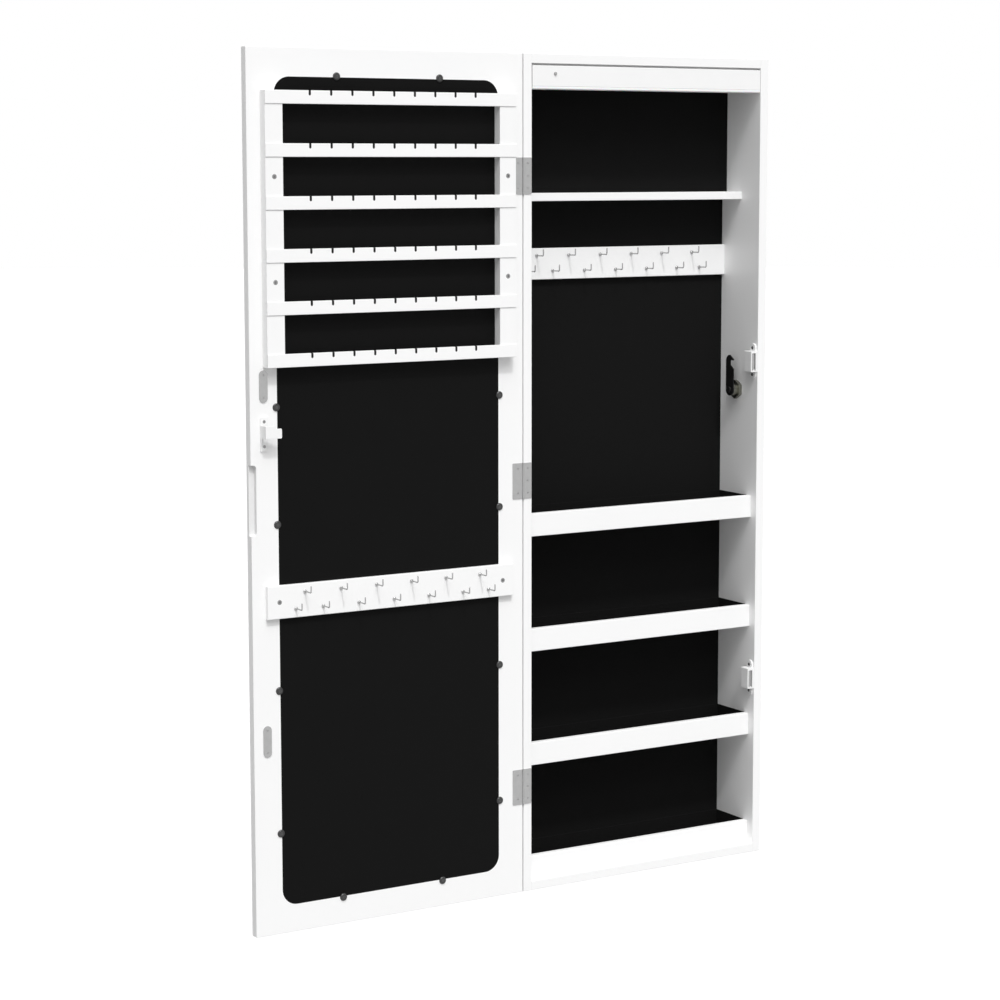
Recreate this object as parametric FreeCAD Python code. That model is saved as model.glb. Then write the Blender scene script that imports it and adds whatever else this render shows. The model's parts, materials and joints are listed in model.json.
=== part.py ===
"""Wall-hung jewellery cabinet with a mirror door, built from its separate pieces.

X runs to the right across the front, Y into the wall, Z up.  The pieces are drawn with X = 0 on
the cabinet's centre line, Y = 0 on its back face and Z = 0 under its bottom panel, and written out
with Z = 0 at the wall screws.  Depths into the cabinet are counted from its front plane.  The door
is drawn where it stands when it is open all the way round, level with the cabinet's front.
"""

import FreeCAD, Part
import math
import os

V = FreeCAD.Vector
RIGHT = V(1, 0, 0)
INWARD = V(0, 1, 0)
OUTWARD = V(0, -1, 0)
UP = V(0, 0, 1)

# ---- driving dimensions, millimetres ----

# carcass
cabinet_width = 376.0
cabinet_height = 1060.0
body_depth = 86.0
board = 12.0
back_thickness = 3.0
back_rebate = 6.0
felt = 1.0
dowel_r = 3.0
dowel_in_side = 8.0
dowel_in_rail = 20.0
dowel_inset = 22.0
dowel_clearance = 0.05

# upper compartment
shelf_from_top = 182.0
shelf_thickness = 10.0
shelf_setback = 39.0
rail_thickness = 9.5

# trays
tray_count = 4
tray_pitch = 148.0
tray_board = 10.0
lip_height = 29.0
lip_thickness = 9.0
lip_setback = 12.0

# wall hangers
hanger_from_top = 75.0
hanger_spacing = 280.0
hanger_width = 24.0
hanger_length = 46.0
hanger_thickness = 1.5
keyhole_entry_r = 5.0
keyhole_slot_r = 2.5
keyhole_rise = 9.0
head_room = 5.0
head_margin = 2.0

# hook boards
hook_board_height = 40.0
hook_board_thickness = 6.0
cabinet_hooks_from_top = 262.6
door_hook_height = 407.2
hook_pitch = 48.6
hooks_in_upper_row = 6
hook_end_inset = 54.2
hook_row_offset = 9.9
hook_rows_lift = 0.8
hook_wire_r = 0.9
hook_reach = 16.5
hook_rise = 7.5
hook_bend_r = 2.2
hook_collar_r = 2.2
hook_collar_length = 2.4
hook_thread = 4.0

# light under the top panel
light_top_gap = 2.5
light_setback = 8.0
light_height = 29.0
light_depth = 22.0
light_wall = 2.0
light_end_gap = 1.0
diffuser_height = 3.5
led_count = 6
led_board_to_switch = 6.8
led_side = 5.0
led_height = 1.6
led_board_thickness = 1.5
led_board_width = 12.0
battery_length = 66.0
battery_depth = 44.0
battery_height = 17.0
battery_from_wall = 50.0
battery_lid = 1.5
battery_gap = 1.5
battery_ribs = 5

# door switch in the light bar
switch_from_wall = 34.2
switch_below_bar_top = 9.5
plunger_r = 2.0
plunger_proud = 1.7
plunger_travel = 1.4
plunger_flange = 1.0
plunger_flange_r = 3.0
plunger_guide_r = 1.2
switch_side = 10.0
switch_length = 12.0
running_clearance = 0.05

# hinges
seam_gap = 1.4
closed_gap = 2.0
low_hinge_height = 137.6
high_hinge_from_top = 150.0
hinge_length = 45.0
hinge_leaf = 0.9
cabinet_leaf_width = 11.8
door_leaf_width = 15.6
knuckle_r = 1.2
knuckle_count = 5
knuckle_gap = 0.2
hinge_pin_r = 0.65
hinge_screw_spread = 15.5

# magnetic catches and their strike plates
low_catch_height = 239.0
high_catch_from_top = 395.0
catch_stand_off = 10.5
catch_height = 27.5
catch_front = 0.3
catch_depth = 15.7
catch_base = 2.0
catch_base_width = 12.0
catch_base_length = 47.0
catch_screw_spacing = 35.3
catch_screw_depth = 9.0
catch_wall_inset = 1.5
magnet_thickness = 3.0
magnet_height = 22.0
magnet_recess = 1.0
magnet_depth = 9.0
pole_thickness = 1.2
pole_proud = 1.0
strike_from_edge = 17.5
strike_width = 10.8
strike_length = 38.0
strike_thickness = 1.0
strike_screw_spacing = 27.0

# cam lock
lock_from_top = 435.0
lock_depth = 45.3
lock_barrel_r = 8.0
lock_flange_r = 10.5
lock_flange = 2.5
lock_stand_off = 10.7
lock_nut_across = 22.0
lock_nut = 4.5
plug_r = 5.0
plug_drive = 6.0
keyway_width = 1.4
keyway_length = 7.0
keyway_depth = 2.0
cam_gap = 0.3
cam_thickness = 1.6
cam_half_width = 8.0
cam_reach = 46.5
notch_top = 39.5
notch_bottom = 33.0
notch_drop = 5.0
notch_depth = 7.0
hook_point_drop = 5.5
cam_screw_head_r = 4.0
cam_screw_head = 2.0
cam_screw_r = 1.5
cam_screw_length = 8.0

# keeper for the cam
keeper_from_edge = 12.6
keeper_width = 10.0
keeper_sheet = 1.5
keeper_length = 41.0
keeper_above_lock = 4.0
keeper_reach = 16.0
tab_length = 21.0
tab_height = 15.0
tab_tip_length = 8.0
tab_tip_drop = 3.4
tab_below_lock = 5.7
keeper_web_drop = 11.0
keeper_web_foot = 4.0
keeper_screw_inset_low = 6.0
keeper_screw_inset_high = 5.5

# door
door_thickness = 12.0
door_border = 34.0
door_side_border = 35.4
mirror_lip = 6.0
mirror_corner_r = 20.0
glass_thickness = 4.0
backing_thickness = 3.0
pull_height = 84.6
pull_width = 7.0
pull_depth = 6.0
pull_corner_r = 4.0

# mirror clips
clip_r = 4.75
clip_thickness = 1.6
clip_outside = 1.2
low_clip_heights = (124.2, 299.0, 499.6)
high_clip_from_top = 420.4
clip_end_spread = 70.0

# earring rack
rack_margin = 17.5
rack_from_top = 50.0
rack_thickness = 13.0
stile_width = 23.0
slat_count = 6
slat_pitch = 61.4
slat_height = 15.7
slat_thickness = 3.5
slat_proud = 1.0
notch_count = 9
notch_pitch = 28.1
earring_notch_r = 1.5
earring_notch_depth = 6.0

# screws: head radius, head height, shank radius, length under the surface
small_screw = (2.0, 0.9, 1.0, 8.0)
catch_screw = (2.2, 1.4, 1.1, 9.0)
strike_screw = (2.0, 0.9, 1.0, 7.0)
hanger_screw = (3.0, 1.4, 1.5, 9.0)
board_screw = (3.0, 2.0, 1.5, 13.0)
rack_screw = (3.0, 2.0, 1.5, 18.0)
clip_screw = (1.8, 0.9, 0.9, 7.0)
light_screw = (2.5, 1.5, 1.4, 11.0)
light_screw_margin = 15.0
board_screw_inset = 15.4
screw_clearance = 0.05
raised_head_taper = 0.7

# edges as near as this to a face belong to it
touch = 0.01

# ---- places worked out from the sizes above ----

front = -body_depth
outer_x = cabinet_width / 2
inner_x = outer_x - board
inner_top = cabinet_height - board
hanger_height = cabinet_height - hanger_from_top
shelf_height = cabinet_height - shelf_from_top
felt_face = -back_thickness - felt
shelf_top = shelf_height + shelf_thickness
rail_face = -back_thickness - rail_thickness
seam_x = -outer_x - seam_gap / 2
hinge_y = front - closed_gap / 2
door_right = seam_x - seam_gap / 2
door_left = door_right - cabinet_width
door_x = (door_left + door_right) / 2
door_back = front + door_thickness
hinge_heights = (low_hinge_height, cabinet_height / 2, cabinet_height - high_hinge_from_top)
catch_heights = (low_catch_height, cabinet_height - high_catch_from_top)
lock_y = front + lock_depth
lock_height = cabinet_height - lock_from_top
keeper_top = lock_height + keeper_above_lock
keeper_bottom = keeper_top - keeper_length
tab_top = lock_height - tab_below_lock
cabinet_hook_height = cabinet_height - cabinet_hooks_from_top
hook_end_offset = cabinet_width / 2 - hook_end_inset
clip_heights = low_clip_heights + (cabinet_height - high_clip_from_top,)
spacer_bottom = inner_top - light_top_gap
light_bottom = spacer_bottom - light_height
switch_height = spacer_bottom - switch_below_bar_top
led_half = inner_x - switch_from_wall - switch_side / 2 - led_board_to_switch
led_pitch = 2 * (led_half - led_side) / (led_count - 1)
battery_left = inner_x - battery_from_wall - battery_length
light_screw_x = led_half + light_screw_margin
rack_width = cabinet_width - 2 * rack_margin
rack_top = cabinet_height - rack_from_top
rack_height = (slat_count - 1) * slat_pitch + slat_height
rack_bottom = rack_top - rack_height
slat_front = front - rack_thickness - slat_proud


def block(x0, x1, y0, y1, z0, z1):
    return Part.makeBox(x1 - x0, y1 - y0, z1 - z0, V(x0, y0, z0))


def rod(radius, start, direction, length):
    return Part.makeCylinder(radius, length, start, direction)


def prism(points, thickness):
    """A flat outline, whose points are joined by straight edges, pushed out by the vector."""
    edges = [Part.LineSegment(a, b).toShape() for a, b in zip(points, points[1:] + points[:1])]
    return Part.Face(Part.Wire(edges)).extrude(thickness)


def rounded_block(x0, x1, y0, y1, z0, z1, radius):
    """A block whose four edges along Y are rounded."""
    solid = block(x0, x1, y0, y1, z0, z1)
    edges = [e for e in solid.Edges if abs(e.tangentAt(e.FirstParameter).y) > 0.5]
    return solid.makeFillet(radius, edges)


def screw(kind, seat, direction, raised=False):
    """A wood screw whose head top (countersunk) or head underside (raised) is at the seat."""
    head_r, head_h, shank_r, length = kind
    if raised:
        head = Part.makeCone(head_r, head_r * raised_head_taper, head_h, seat, direction * -1)
        return head.fuse(rod(shank_r, seat, direction, length)).removeSplitter()
    head = Part.makeCone(head_r, shank_r, head_h, seat, direction)
    return head.fuse(rod(shank_r, seat, direction, length)).removeSplitter()


def screw_hole(kind, seat, direction, raised=False):
    """The room that such a screw takes: a close hole, and the cone of a countersunk head."""
    head_r, head_h, shank_r, length = kind
    hole = rod(shank_r + screw_clearance, seat, direction, length + screw_clearance)
    if raised:
        return hole
    return hole.fuse(Part.makeCone(head_r, shank_r, head_h, seat, direction))


def screws(kind, seats, direction, raised=False):
    return Part.makeCompound([screw(kind, seat, direction, raised) for seat in seats])


def drill(solid, kind, seats, direction, raised=False):
    for seat in seats:
        solid = solid.cut(screw_hole(kind, seat, direction, raised))
    return solid


# ---- where the fasteners go ----


def hinge_screw_places(side):
    """Two screws near a leaf's ends, and on the cabinet's leaf one more between them."""
    width = cabinet_leaf_width if side > 0 else door_leaf_width
    clear = seam_gap / 2
    x = seam_x + side * (clear + (width - clear) / 2)
    offsets = (-hinge_screw_spread, 0.0, hinge_screw_spread) if side > 0 else (
        -hinge_screw_spread, hinge_screw_spread)
    return [V(x, front - hinge_leaf, h + dz) for h in hinge_heights for dz in offsets]


def catch_screw_places():
    seats = []
    for h in catch_heights:
        for side in (-1, 1):
            z = h + side * catch_screw_spacing / 2
            seats.append(V(inner_x - catch_base, front + catch_screw_depth, z))
    return seats


def strike_x():
    return door_left + strike_from_edge


def strike_screw_places():
    seats = []
    for h in catch_heights:
        for side in (-1, 1):
            seats.append(V(strike_x(), front - strike_thickness, h + side * strike_screw_spacing / 2))
    return seats


def keeper_screw_places():
    x = door_left + keeper_from_edge + keeper_width / 2
    heights = (keeper_bottom + keeper_screw_inset_low, keeper_top - keeper_screw_inset_high)
    return [V(x, front - keeper_sheet, z) for z in heights]


def clip_places():
    """Clips stand on the seam between the door frame and the mirror's backing."""
    side = cabinet_width / 2 - door_side_border + clip_outside
    places = [V(door_x + s * side, front, h) for h in clip_heights for s in (-1, 1)]
    for h in (door_border - clip_outside, cabinet_height - door_border + clip_outside):
        places += [V(door_x + s * clip_end_spread, front, h) for s in (-1, 1)]
    return places


def rack_screw_places():
    """One screw half way between slats two and three, and one between slats four and five."""
    x = rack_width / 2 - stile_width / 2
    gap_middle = slat_height / 2 + slat_pitch / 2
    heights = [rack_top - n * slat_pitch - gap_middle for n in (1, 3)]
    return [V(door_x + s * x, front - rack_thickness, h) for h in heights for s in (-1, 1)]


def hook_board_screw_places():
    x = rack_width / 2 - board_screw_inset
    return [V(door_x + s * x, front - hook_board_thickness, door_hook_height) for s in (-1, 1)]


def hanger_screw_places():
    z = hanger_length / 2 - hanger_width / 4
    return [
        V(s * hanger_spacing / 2, 0, hanger_height + keyhole_rise / 2 + e * z)
        for s in (-1, 1)
        for e in (-1, 1)
    ]


def light_screw_places():
    y = front + light_setback + (light_depth - light_setback) / 2
    return [V(s * light_screw_x, y, spacer_bottom - light_wall) for s in (-1, 1)]


def dowel_places():
    """Two dowels at each corner, as the end of the dowel inside the side panel and its side."""
    places = []
    for side in (-1, 1):
        for z in (board / 2, cabinet_height - board / 2):
            for y in (front + dowel_inset, -dowel_inset):
                places.append((side, V(side * (inner_x + dowel_in_side), y, z)))
    return places


# ---- carcass ----


def dowels():
    length = dowel_in_side + dowel_in_rail
    return Part.makeCompound([rod(dowel_r, p, RIGHT * -side, length) for side, p in dowel_places()])


def dowel_holes(solid, side=None):
    length = dowel_in_side + dowel_in_rail
    for s, place in dowel_places():
        if side is None or s == side:
            solid = solid.cut(rod(dowel_r + dowel_clearance, place, RIGHT * -s, length))
    return solid


def back_rebate_block():
    """The step round the back edge of the carcass that takes the back panel."""
    x = inner_x + back_rebate
    return block(-x, x, -back_thickness, 0, board - back_rebate, inner_top + back_rebate)


def side_panel(side):
    x0, x1 = sorted((side * inner_x, side * outer_x))
    panel = block(x0, x1, front, 0, 0, cabinet_height).cut(back_rebate_block())
    panel = dowel_holes(panel, side)
    if side < 0:
        return drill(panel, small_screw, hinge_screw_places(1), INWARD)
    panel = panel.cut(rod(lock_barrel_r, V(x0, lock_y, lock_height), RIGHT, board))
    return drill(panel, catch_screw, catch_screw_places(), RIGHT, True)


def end_panel(bottom):
    panel = block(-inner_x, inner_x, front, 0, bottom, bottom + board).cut(back_rebate_block())
    panel = dowel_holes(panel)
    if bottom > 0:
        return drill(panel, light_screw, light_screw_places(), UP, True)
    return panel


def hanger_pockets():
    """Room behind each keyhole for the head of the wall screw."""
    half = keyhole_entry_r + head_margin
    depth = back_thickness + head_room
    low = hanger_height - half
    high = hanger_height + keyhole_rise + keyhole_slot_r + head_margin
    return [
        block(s * hanger_spacing / 2 - half, s * hanger_spacing / 2 + half, -depth, 0, low, high)
        for s in (-1, 1)
    ]


def hanger_outline(s):
    x = s * hanger_spacing / 2
    middle = hanger_height + keyhole_rise / 2
    return rounded_block(
        x - hanger_width / 2, x + hanger_width / 2, -hanger_thickness, 0,
        middle - hanger_length / 2, middle + hanger_length / 2, hanger_width / 4)


def back_panel():
    panel = back_rebate_block()
    for pocket in hanger_pockets():
        panel = panel.cut(pocket)
    for s in (-1, 1):
        panel = panel.cut(hanger_outline(s))
    return drill(panel, hanger_screw, hanger_screw_places(), OUTWARD)


def hanging_rail():
    """The thick board behind the upper compartment, which the hangers are screwed to."""
    rail = block(-inner_x, inner_x, rail_face, -back_thickness, shelf_top, inner_top)
    for pocket in hanger_pockets():
        rail = rail.cut(pocket)
    return drill(rail, hanger_screw, hanger_screw_places(), OUTWARD)


def hanger_plates():
    plates = []
    for s in (-1, 1):
        centre = V(s * hanger_spacing / 2, -hanger_thickness, hanger_height)
        plate = hanger_outline(s)
        plate = plate.cut(rod(keyhole_entry_r, centre, INWARD, hanger_thickness))
        slot_top = centre + UP * keyhole_rise
        plate = plate.cut(rod(keyhole_slot_r, slot_top, INWARD, hanger_thickness))
        plate = plate.cut(block(
            centre.x - keyhole_slot_r, centre.x + keyhole_slot_r, -hanger_thickness, 0,
            centre.z, slot_top.z))
        plates.append(drill(plate, hanger_screw, hanger_screw_places(), OUTWARD))
    return Part.makeCompound(plates)


def upper_shelf():
    return block(-inner_x, inner_x, front + shelf_setback, -back_thickness, shelf_height, shelf_top)


def rail_felt():
    return block(-inner_x, inner_x, rail_face - felt, rail_face, shelf_top, inner_top)


def back_felt():
    return block(-inner_x, inner_x, felt_face, -back_thickness, board, shelf_height)


# ---- trays ----


def tray_bottom(number):
    """Underside of a tray's lip, counted from the lowest tray."""
    return board + number * tray_pitch


def tray_floor(number):
    return tray_bottom(number) + (tray_board if number else 0.0)


def tray_boards():
    y0 = front + lip_setback + lip_thickness
    return Part.makeCompound([
        block(-inner_x, inner_x, y0, felt_face, tray_bottom(n), tray_floor(n))
        for n in range(1, tray_count)
    ])


def tray_lips():
    y0 = front + lip_setback
    return Part.makeCompound([
        block(-inner_x, inner_x, y0, y0 + lip_thickness, tray_bottom(n), tray_bottom(n) + lip_height)
        for n in range(tray_count)
    ])


def tray_liners():
    """An open felt tray on each tray board, as deep as the lip is high."""
    y0 = front + lip_setback + lip_thickness
    liners = []
    for n in range(tray_count):
        top = tray_bottom(n) + lip_height
        floor = tray_floor(n)
        outer = block(-inner_x, inner_x, y0, felt_face, floor, top)
        hollow = block(-inner_x + felt, inner_x - felt, y0 + felt, felt_face - felt, floor + felt, top)
        liners.append(outer.cut(hollow))
    return Part.makeCompound(liners)


# ---- hook boards ----


def hook_places(centre_x, face_y, centre_z):
    """Six hooks in the upper row; seven below them, the outer two moved in from the ends."""
    rows = []
    middle = centre_z + hook_rows_lift
    for n in range(hooks_in_upper_row):
        x = (n - (hooks_in_upper_row - 1) / 2) * hook_pitch
        rows.append(V(centre_x + x, face_y, middle + hook_row_offset))
    between = hooks_in_upper_row - 1
    for n in range(between):
        x = (n - (between - 1) / 2) * hook_pitch
        rows.append(V(centre_x + x, face_y, middle - hook_row_offset))
    for s in (-1, 1):
        rows.append(V(centre_x + s * hook_end_offset, face_y, middle - hook_row_offset))
    return rows


def hook(place):
    """A bent-wire screw hook: thread, collar, straight stem, round elbow and upturned tip."""
    start = place + INWARD * hook_thread
    elbow = place + OUTWARD * (hook_reach - hook_bend_r)
    bend_middle = elbow + UP * hook_bend_r
    section = Part.Face(Part.Wire([Part.makeCircle(hook_wire_r, elbow, OUTWARD)]))
    bend = section.revolve(bend_middle, RIGHT * -1, 90)
    stem = rod(hook_wire_r, start, OUTWARD, hook_thread + hook_reach - hook_bend_r)
    tip = rod(hook_wire_r, bend_middle + OUTWARD * hook_bend_r, UP, hook_rise - hook_bend_r)
    collar = rod(hook_collar_r, place, OUTWARD, hook_collar_length)
    rims = [e for e in collar.Edges if e.Closed]
    collar = collar.makeChamfer(hook_collar_length / 3, rims)
    return stem.fuse([bend, tip, collar]).removeSplitter()


def hooks(places):
    return Part.makeCompound([hook(place) for place in places])


def hook_holes(solid, places):
    for place in places:
        solid = solid.cut(rod(hook_wire_r + screw_clearance, place, INWARD, hook_thread))
    return solid


def cabinet_hook_places():
    return hook_places(0, felt_face - hook_board_thickness, cabinet_hook_height)


def door_hook_places():
    return hook_places(door_x, front - hook_board_thickness, door_hook_height)


def cabinet_hook_board():
    half = hook_board_height / 2
    low, high = cabinet_hook_height - half, cabinet_hook_height + half
    face = felt_face - hook_board_thickness
    plank = block(-inner_x, inner_x, face, felt_face, low, high)
    return hook_holes(plank, cabinet_hook_places())


def door_hook_board():
    half = hook_board_height / 2
    low, high = door_hook_height - half, door_hook_height + half
    x = rack_width / 2
    plank = block(door_x - x, door_x + x, front - hook_board_thickness, front, low, high)
    plank = drill(plank, board_screw, hook_board_screw_places(), INWARD)
    return hook_holes(plank, door_hook_places())


# ---- light ----


def light_x():
    return inner_x - light_end_gap


def light_spacer():
    """A thin strip that holds the light bar off the top panel and leaves a dark line in front."""
    y1 = front + light_depth + battery_gap + battery_depth
    strip = block(-inner_x, inner_x, front + light_setback, y1, spacer_bottom, inner_top)
    return drill(strip, light_screw, light_screw_places(), UP, True)


def plunger_place():
    return V(-inner_x + switch_from_wall, front, switch_height)


def light_bar():
    """A long box that is open below, with a hole in its front for the switch's plunger."""
    x = light_x()
    low = light_bottom + diffuser_height
    bar = block(-x, x, front, front + light_depth, low, spacer_bottom)
    edges = [e for e in bar.Edges if abs(e.tangentAt(e.FirstParameter).x) > 0.5
             and e.BoundBox.YMax < front + touch]
    bar = bar.makeFillet(light_wall / 3, edges)
    hollow = block(-x + light_wall, x - light_wall, front + light_wall,
                   front + light_depth - light_wall, low, spacer_bottom - light_wall)
    bar = bar.cut(hollow)
    bar = bar.cut(rod(plunger_r + running_clearance, plunger_place(), INWARD, light_wall))
    return drill(bar, light_screw, light_screw_places(), UP, True)


def light_diffuser():
    x = light_x()
    low = light_bottom
    strip = block(-x, x, front, front + light_depth, low, low + diffuser_height)
    edges = [e for e in strip.Edges if abs(e.tangentAt(e.FirstParameter).x) > 0.5
             and e.BoundBox.ZMax < low + touch]
    return strip.makeFillet(diffuser_height / 3, edges)


def led_board():
    """The strip of circuit board between the two screws that hold the bar."""
    y = front + light_depth / 2
    top = spacer_bottom - light_wall
    half = led_board_width / 2
    return block(-led_half, led_half, y - half, y + half, top - led_board_thickness, top)


def led_places():
    return [(n - (led_count - 1) / 2) * led_pitch for n in range(led_count)]


def leds():
    y = front + light_depth / 2
    top = spacer_bottom - light_wall - led_board_thickness
    half = led_side / 2
    return Part.makeCompound([
        block(x - half, x + half, y - half, y + half, top - led_height, top) for x in led_places()
    ])


def battery_box():
    x0 = battery_left
    y0 = front + light_depth + battery_gap
    low = spacer_bottom - battery_height
    box = block(x0, x0 + battery_length, y0, y0 + battery_depth, low, spacer_bottom)
    upright = [e for e in box.Edges if abs(e.tangentAt(e.FirstParameter).z) > 0.5]
    return box.makeFillet(battery_lid, upright)


def battery_cover():
    """The cover under the battery box, with finger ribs near its front."""
    x0 = battery_left + battery_lid
    y0 = front + light_depth + battery_gap + battery_lid
    top = spacer_bottom - battery_height
    length = battery_length - 2 * battery_lid
    depth = battery_depth - 2 * battery_lid
    cover = block(x0, x0 + length, y0, y0 + depth, top - battery_lid, top)
    for n in range(battery_ribs):
        y = y0 + (n + 1) * 2 * battery_lid
        rib = rod(battery_lid / 3, V(x0 + length / 3, y, top - battery_lid), RIGHT, length / 3)
        cover = cover.fuse(rib)
    return cover.removeSplitter()


def switch_body():
    """A small box behind the bar's front wall; the plunger's flange moves inside it."""
    place = plunger_place()
    half = switch_side / 2
    y0 = front + light_wall
    box = block(place.x - half, place.x + half, y0, y0 + switch_length,
                place.z - half, place.z + half)
    room = plunger_flange + plunger_travel + 2 * running_clearance
    chamber = rod(plunger_flange_r + running_clearance, V(place.x, y0, place.z), INWARD, room)
    guide = rod(plunger_guide_r + running_clearance, V(place.x, y0, place.z), INWARD, switch_length)
    return box.cut(chamber).cut(guide)


def switch_plunger():
    place = plunger_place()
    start = place + OUTWARD * plunger_proud
    y0 = front + light_wall
    button = rod(plunger_r, start, INWARD, plunger_proud + light_wall)
    tip = [e for e in button.Edges if e.Closed and e.BoundBox.YMax < start.y + touch]
    button = button.makeFillet(plunger_r / 3, tip)
    flange_start = V(place.x, y0, place.z)
    flange = rod(plunger_flange_r, flange_start, INWARD, plunger_flange)
    guide = rod(plunger_guide_r, flange_start, INWARD, switch_length - plunger_travel)
    return button.fuse([flange, guide]).removeSplitter()


# ---- hinges ----


def knuckle_spans(height, owner):
    """The stretches of the barrel that belong to one leaf: odd knuckles to the cabinet's."""
    pitch = hinge_length / knuckle_count
    low = height - hinge_length / 2
    spans = []
    for n in range(knuckle_count):
        if (n % 2 == 0) == (owner > 0):
            spans.append((low + n * pitch + knuckle_gap / 2, low + (n + 1) * pitch - knuckle_gap / 2))
    return spans


def hinge_leaf_piece(height, side):
    """One leaf of a butt hinge, with its share of the knuckles rolled round the pin."""
    width = cabinet_leaf_width if side > 0 else door_leaf_width
    low = height - hinge_length / 2
    x0, x1 = sorted((seam_x, seam_x + side * width))
    leaf = block(x0, x1, front - hinge_leaf, front, low, low + hinge_length)
    corners = [e for e in leaf.Edges if abs(e.tangentAt(e.FirstParameter).y) > 0.5
               and abs(e.CenterOfMass.x - (seam_x + side * width)) < touch]
    leaf = leaf.makeFillet(hinge_leaf, corners)
    room = knuckle_r + knuckle_gap
    for z0, z1 in knuckle_spans(height, -side):
        notch = block(seam_x - room, seam_x + room, front - closed_gap, front + closed_gap,
                      z0 - knuckle_gap, z1 + knuckle_gap)
        leaf = leaf.cut(notch)
    for z0, z1 in knuckle_spans(height, side):
        leaf = leaf.fuse(rod(knuckle_r, V(seam_x, hinge_y, z0), UP, z1 - z0))
    bore = hinge_pin_r + (0.0 if side > 0 else running_clearance)
    leaf = leaf.cut(rod(bore, V(seam_x, hinge_y, low), UP, hinge_length))
    places = [p for p in hinge_screw_places(side) if abs(p.z - height) < hinge_length / 2]
    return drill(leaf.removeSplitter(), small_screw, places, INWARD)


def hinge_leaves(side):
    return Part.makeCompound([hinge_leaf_piece(h, side) for h in hinge_heights])


def hinge_pins():
    return Part.makeCompound([
        rod(hinge_pin_r, V(seam_x, hinge_y, h - hinge_length / 2), UP, hinge_length)
        for h in hinge_heights
    ])


# ---- magnetic catches ----


def magnet_x():
    """Left face of the first pole plate in a catch."""
    return inner_x - catch_stand_off + catch_wall_inset


def magnet_stack():
    return magnet_thickness + 2 * pole_thickness


def catch_housing(height):
    x0 = inner_x - catch_stand_off
    y0 = front + catch_front
    half = catch_height / 2
    body = block(x0, inner_x, y0, y0 + catch_depth, height - half, height + half)
    rim = [e for e in body.Edges if abs(e.CenterOfMass.x - x0) < touch]
    body = body.makeFillet(catch_wall_inset / 2, rim)
    base_y = front + catch_screw_depth
    half_width = catch_base_width / 2
    straight = catch_base_length / 2 - half_width
    base = block(inner_x - catch_base, inner_x, base_y - half_width, base_y + half_width,
                 height - straight, height + straight)
    for s in (-1, 1):
        end = V(inner_x - catch_base, base_y, height + s * straight)
        base = base.fuse(rod(half_width, end, RIGHT, catch_base))
    body = body.fuse(base).removeSplitter()
    pocket_x = magnet_x()
    pocket = block(pocket_x, pocket_x + magnet_stack(), y0, y0 + magnet_recess + magnet_depth,
                   height - magnet_height / 2, height + magnet_height / 2)
    body = body.cut(pocket)
    places = [p for p in catch_screw_places() if abs(p.z - height) < catch_base_length]
    return drill(body, catch_screw, places, RIGHT, True)


def catch_housings():
    return Part.makeCompound([catch_housing(h) for h in catch_heights])


def catch_magnets():
    x0 = magnet_x() + pole_thickness
    y0 = front + catch_front + magnet_recess
    half = magnet_height / 2
    return Part.makeCompound([
        block(x0, x0 + magnet_thickness, y0, y0 + magnet_depth, h - half, h + half)
        for h in catch_heights
    ])


def pole_plates():
    plates = []
    y0 = front + catch_front
    half = magnet_height / 2
    for h in catch_heights:
        for x0 in (magnet_x(), magnet_x() + pole_thickness + magnet_thickness):
            plates.append(block(x0, x0 + pole_thickness, y0 - pole_proud,
                                y0 + magnet_recess + magnet_depth, h - half, h + half))
    return Part.makeCompound(plates)


def strike_plates():
    """Round-ended steel plates on the door, where the catches meet it."""
    plates = []
    for h in catch_heights:
        half = strike_width / 2
        straight = strike_length / 2 - half
        plate = block(strike_x() - half, strike_x() + half, front - strike_thickness, front,
                      h - straight, h + straight)
        for s in (-1, 1):
            end = V(strike_x(), front - strike_thickness, h + s * straight)
            plate = plate.fuse(rod(half, end, INWARD, strike_thickness))
        places = [p for p in strike_screw_places() if abs(p.z - h) < strike_length]
        plates.append(drill(plate.removeSplitter(), strike_screw, places, INWARD))
    return Part.makeCompound(plates)


# ---- cam lock ----


def barrel_end_x():
    return inner_x - lock_stand_off


def lock_barrel():
    """The threaded body through the side panel, with its flange outside and a bore for the plug."""
    x0 = barrel_end_x()
    x1 = outer_x + lock_flange
    body = rod(lock_barrel_r, V(x0, lock_y, lock_height), RIGHT, outer_x - x0)
    flange = rod(lock_flange_r, V(outer_x, lock_y, lock_height), RIGHT, lock_flange)
    rim = [e for e in flange.Edges if e.Closed and e.BoundBox.XMin > x1 - touch]
    flange = flange.makeFillet(lock_flange / 3, rim)
    bore = rod(plug_r + running_clearance, V(x0, lock_y, lock_height), RIGHT, x1 - x0)
    return body.fuse(flange).cut(bore).removeSplitter()


def lock_nut_piece():
    corner = lock_nut_across / math.sqrt(3)
    x0 = inner_x - lock_nut
    points = [
        V(x0, lock_y + corner * math.sin(math.radians(60 * n)),
          lock_height + corner * math.cos(math.radians(60 * n)))
        for n in range(6)
    ]
    nut = prism(points, RIGHT * lock_nut)
    dome = rod(corner, V(x0, lock_y, lock_height), RIGHT, lock_nut)
    rim = [e for e in dome.Edges if e.Closed]
    dome = dome.makeChamfer(lock_nut / 8, rim)
    return nut.common(dome).cut(rod(lock_barrel_r, V(x0, lock_y, lock_height), RIGHT, lock_nut))


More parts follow.
